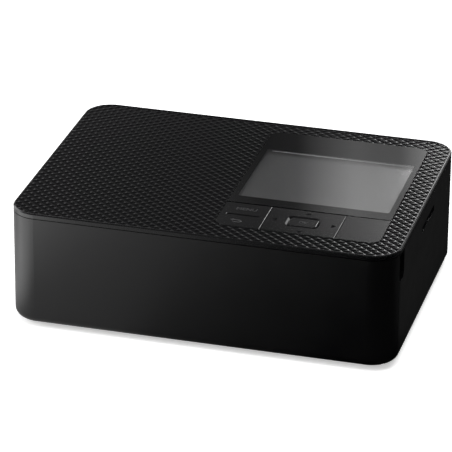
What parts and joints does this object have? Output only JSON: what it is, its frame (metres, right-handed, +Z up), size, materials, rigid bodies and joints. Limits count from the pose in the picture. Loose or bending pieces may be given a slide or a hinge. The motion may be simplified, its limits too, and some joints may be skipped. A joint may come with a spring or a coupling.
{
  "type": "compact photo printer",
  "caption": "Compact dye-sublimation photo printer with a textured lid, flat display and key panel, drop-down front cover, side ink door and card slot.",
  "frame": {"origin": "middle of the footprint, on the table under the rubber feet", "axes": "+Z up, front cover faces -Y, card slot side faces +X"},
  "size_m": [0.1822, 0.133, 0.0576],
  "materials": {
    "textured_cover": "raised diamond texture, semi-gloss",
    "case_plastic": "fine satin mould finish",
    "window_plastic": "clear gloss",
    "mask_ink": "printed film",
    "display": "polarised film",
    "key_plastic": "satin gloss",
    "rubber": "matt",
    "plated_steel": "zinc plated sheet",
    "turned_steel": "turned and ground",
    "motor_steel": "drawn can",
    "circuit_board": "solder mask",
    "components": "moulded",
    "gear_plastic": "acetal",
    "guide_plastic": "mould finish",
    "pinion_brass": "cut",
    "head_ceramic": "glazed",
    "sink_aluminium": "extruded"
  },
  "bodies": {
    "printer": {"top_cover": "textured_cover", "main_case": "case_plastic", "bottom_case": "case_plastic", "rubber_feet": "rubber", "case_screws": "turned_steel", "port_frame": "case_plastic", "hinge_pins": "turned_steel", "display_window": "window_plastic", "display_mask": "mask_ink", "lcd_module": "display", "lcd_frame": "plated_steel", "key_board": "circuit_board", "key_switches": "components", "main_board": "circuit_board", "board_parts": "components", "card_socket": "plated_steel", "io_board": "circuit_board", "dc_jack": "components", "usb_socket": "plated_steel", "power_board": "circuit_board", "power_parts": "components", "left_frame": "plated_steel", "right_frame": "plated_steel", "base_plate": "plated_steel", "top_stay": "plated_steel", "gearbox_plate": "plated_steel", "bearing_bushes": "gear_plastic", "feed_motor": "motor_steel", "ribbon_motor": "motor_steel", "lift_motor": "motor_steel", "pinch_bracket": "plated_steel", "paper_guide": "guide_plastic", "rear_guide": "guide_plastic"},
    "cover": {"front_cover": "case_plastic"},
    "door": {"ink_door": "case_plastic"},
    "lever": {"eject_lever": "gear_plastic"},
    "menu_key": {"menu_back_key": "key_plastic"},
    "nav_post": {"navigation_post": "rubber"},
    "nav_plate": {"navigation_plate": "key_plastic"},
    "ok_key": {"ok_button": "key_plastic"},
    "side_key": {"print_key": "key_plastic"},
    "head_unit": {"thermal_head": "head_ceramic", "head_heatsink": "sink_aluminium", "head_bracket": "plated_steel", "head_shaft": "turned_steel", "lift_sector": "gear_plastic"},
    "lift_gear": {"lift_pinion": "pinion_brass"},
    "platen": {"platen_shaft": "turned_steel", "platen_rubber": "rubber"},
    "grip": {"grip_roller": "turned_steel", "grip_gear": "gear_plastic"},
    "pinch": {"pinch_roller": "rubber"},
    "reduction": {"reduction_gear": "gear_plastic"},
    "feed_gear": {"feed_pinion": "pinion_brass"},
    "pickup": {"pickup_shaft": "turned_steel", "pickup_rollers": "rubber", "pickup_gear": "gear_plastic"},
    "takeup": {"takeup_spindle": "gear_plastic"},
    "ribbon_gear": {"ribbon_pinion": "pinion_brass"},
    "supply": {"supply_spindle": "gear_plastic"}
  },
  "joints": [
    {"name": "front_cover_swing", "type": "hinge", "parent": "printer", "child": "cover", "pos_m": [0, -0.0625, 0.0056], "axis": [1, 0, 0], "range_deg": [0, 90]},
    {"name": "ink_door_swing", "type": "hinge", "parent": "printer", "child": "door", "pos_m": [-0.0894, 0.019, 0.0156], "axis": [0, -1, 0], "range_deg": [0, 90]},
    {"name": "eject_lever_tilt", "type": "hinge", "parent": "printer", "child": "lever", "pos_m": [-0.081, -0.017, 0.033], "axis": [1, 0, 0], "range_deg": [-15, 0], "stiffness_Nm_per_rad": 0.01, "springref_deg": 2.86},
    {"name": "menu_key_rock", "type": "hinge", "parent": "printer", "child": "menu_key", "pos_m": [0.01385, -0.0402, 0.0564], "axis": [1, 0, 0], "range_deg": [-1.5, 1.5], "stiffness_Nm_per_rad": 0.05},
    {"name": "navigation_tilt_front", "type": "hinge", "parent": "printer", "child": "nav_post", "pos_m": [0.0421, -0.0402, 0.0564], "axis": [1, 0, 0], "range_deg": [-1.5, 1.5], "stiffness_Nm_per_rad": 0.05},
    {"name": "navigation_tilt_side", "type": "hinge", "parent": "nav_post", "child": "nav_plate", "pos_m": [0.0421, -0.0402, 0.0564], "axis": [0, 1, 0], "range_deg": [-1.2, 1.2], "stiffness_Nm_per_rad": 0.05},
    {"name": "ok_press", "type": "slide", "parent": "printer", "child": "ok_key", "axis": [0, 0, -1], "range_m": [0, 0.0005], "stiffness_N_per_m": 300, "springref_m": -0.0003},
    {"name": "print_press", "type": "slide", "parent": "printer", "child": "side_key", "axis": [0, 0, -1], "range_m": [0, 0.0005], "stiffness_N_per_m": 300, "springref_m": -0.0003},
    {"name": "head_lift", "type": "hinge", "parent": "printer", "child": "head_unit", "pos_m": [0, 0.051, 0.045], "axis": [1, 0, 0], "range_deg": [0, 13]},
    {"name": "lift_pinion_spin", "type": "hinge", "parent": "printer", "child": "lift_gear", "pos_m": [0, 0.03224, 0.03417], "axis": [1, 0, 0], "range_deg": [-66, 1]},
    {"name": "platen_spin", "type": "hinge", "parent": "printer", "child": "platen", "pos_m": [0, 0.025, 0.0119], "axis": [1, 0, 0], "continuous": true},
    {"name": "grip_spin", "type": "hinge", "parent": "printer", "child": "grip", "pos_m": [0, -0.017, 0.01445], "axis": [1, 0, 0], "continuous": true},
    {"name": "pinch_spin", "type": "hinge", "parent": "printer", "child": "pinch", "pos_m": [0, -0.017, 0.0231], "axis": [1, 0, 0], "continuous": true},
    {"name": "reduction_spin", "type": "hinge", "parent": "printer", "child": "reduction", "pos_m": [0, -0.02531, 0.024], "axis": [1, 0, 0], "continuous": true},
    {"name": "feed_pinion_spin", "type": "hinge", "parent": "printer", "child": "feed_gear", "pos_m": [0, -0.04094, 0.01769], "axis": [1, 0, 0], "continuous": true},
    {"name": "pickup_spin", "type": "hinge", "parent": "printer", "child": "pickup", "pos_m": [0, -0.03797, 0.02964], "axis": [1, 0, 0], "continuous": true},
    {"name": "takeup_spin", "type": "hinge", "parent": "printer", "child": "takeup", "pos_m": [0, 0.043, 0.03], "axis": [1, 0, 0], "continuous": true},
    {"name": "ribbon_pinion_spin", "type": "hinge", "parent": "printer", "child": "ribbon_gear", "pos_m": [0, 0.04124, 0.01746], "axis": [1, 0, 0], "continuous": true},
    {"name": "supply_spin", "type": "hinge", "parent": "printer", "child": "supply", "pos_m": [0, 0.001, 0.03], "axis": [1, 0, 0], "continuous": true}
  ],
  "couplings": [
    {"joint": "lift_pinion_spin", "follows": "head_lift", "ratio": -5},
    {"joint": "reduction_spin", "follows": "grip_spin", "ratio": -2},
    {"joint": "feed_pinion_spin", "follows": "grip_spin", "ratio": 7.3333},
    {"joint": "pickup_spin", "follows": "grip_spin", "ratio": 0.875},
    {"joint": "pinch_spin", "follows": "grip_spin", "ratio": -1.125},
    {"joint": "ribbon_pinion_spin", "follows": "takeup_spin", "ratio": -2.5}
  ]
}
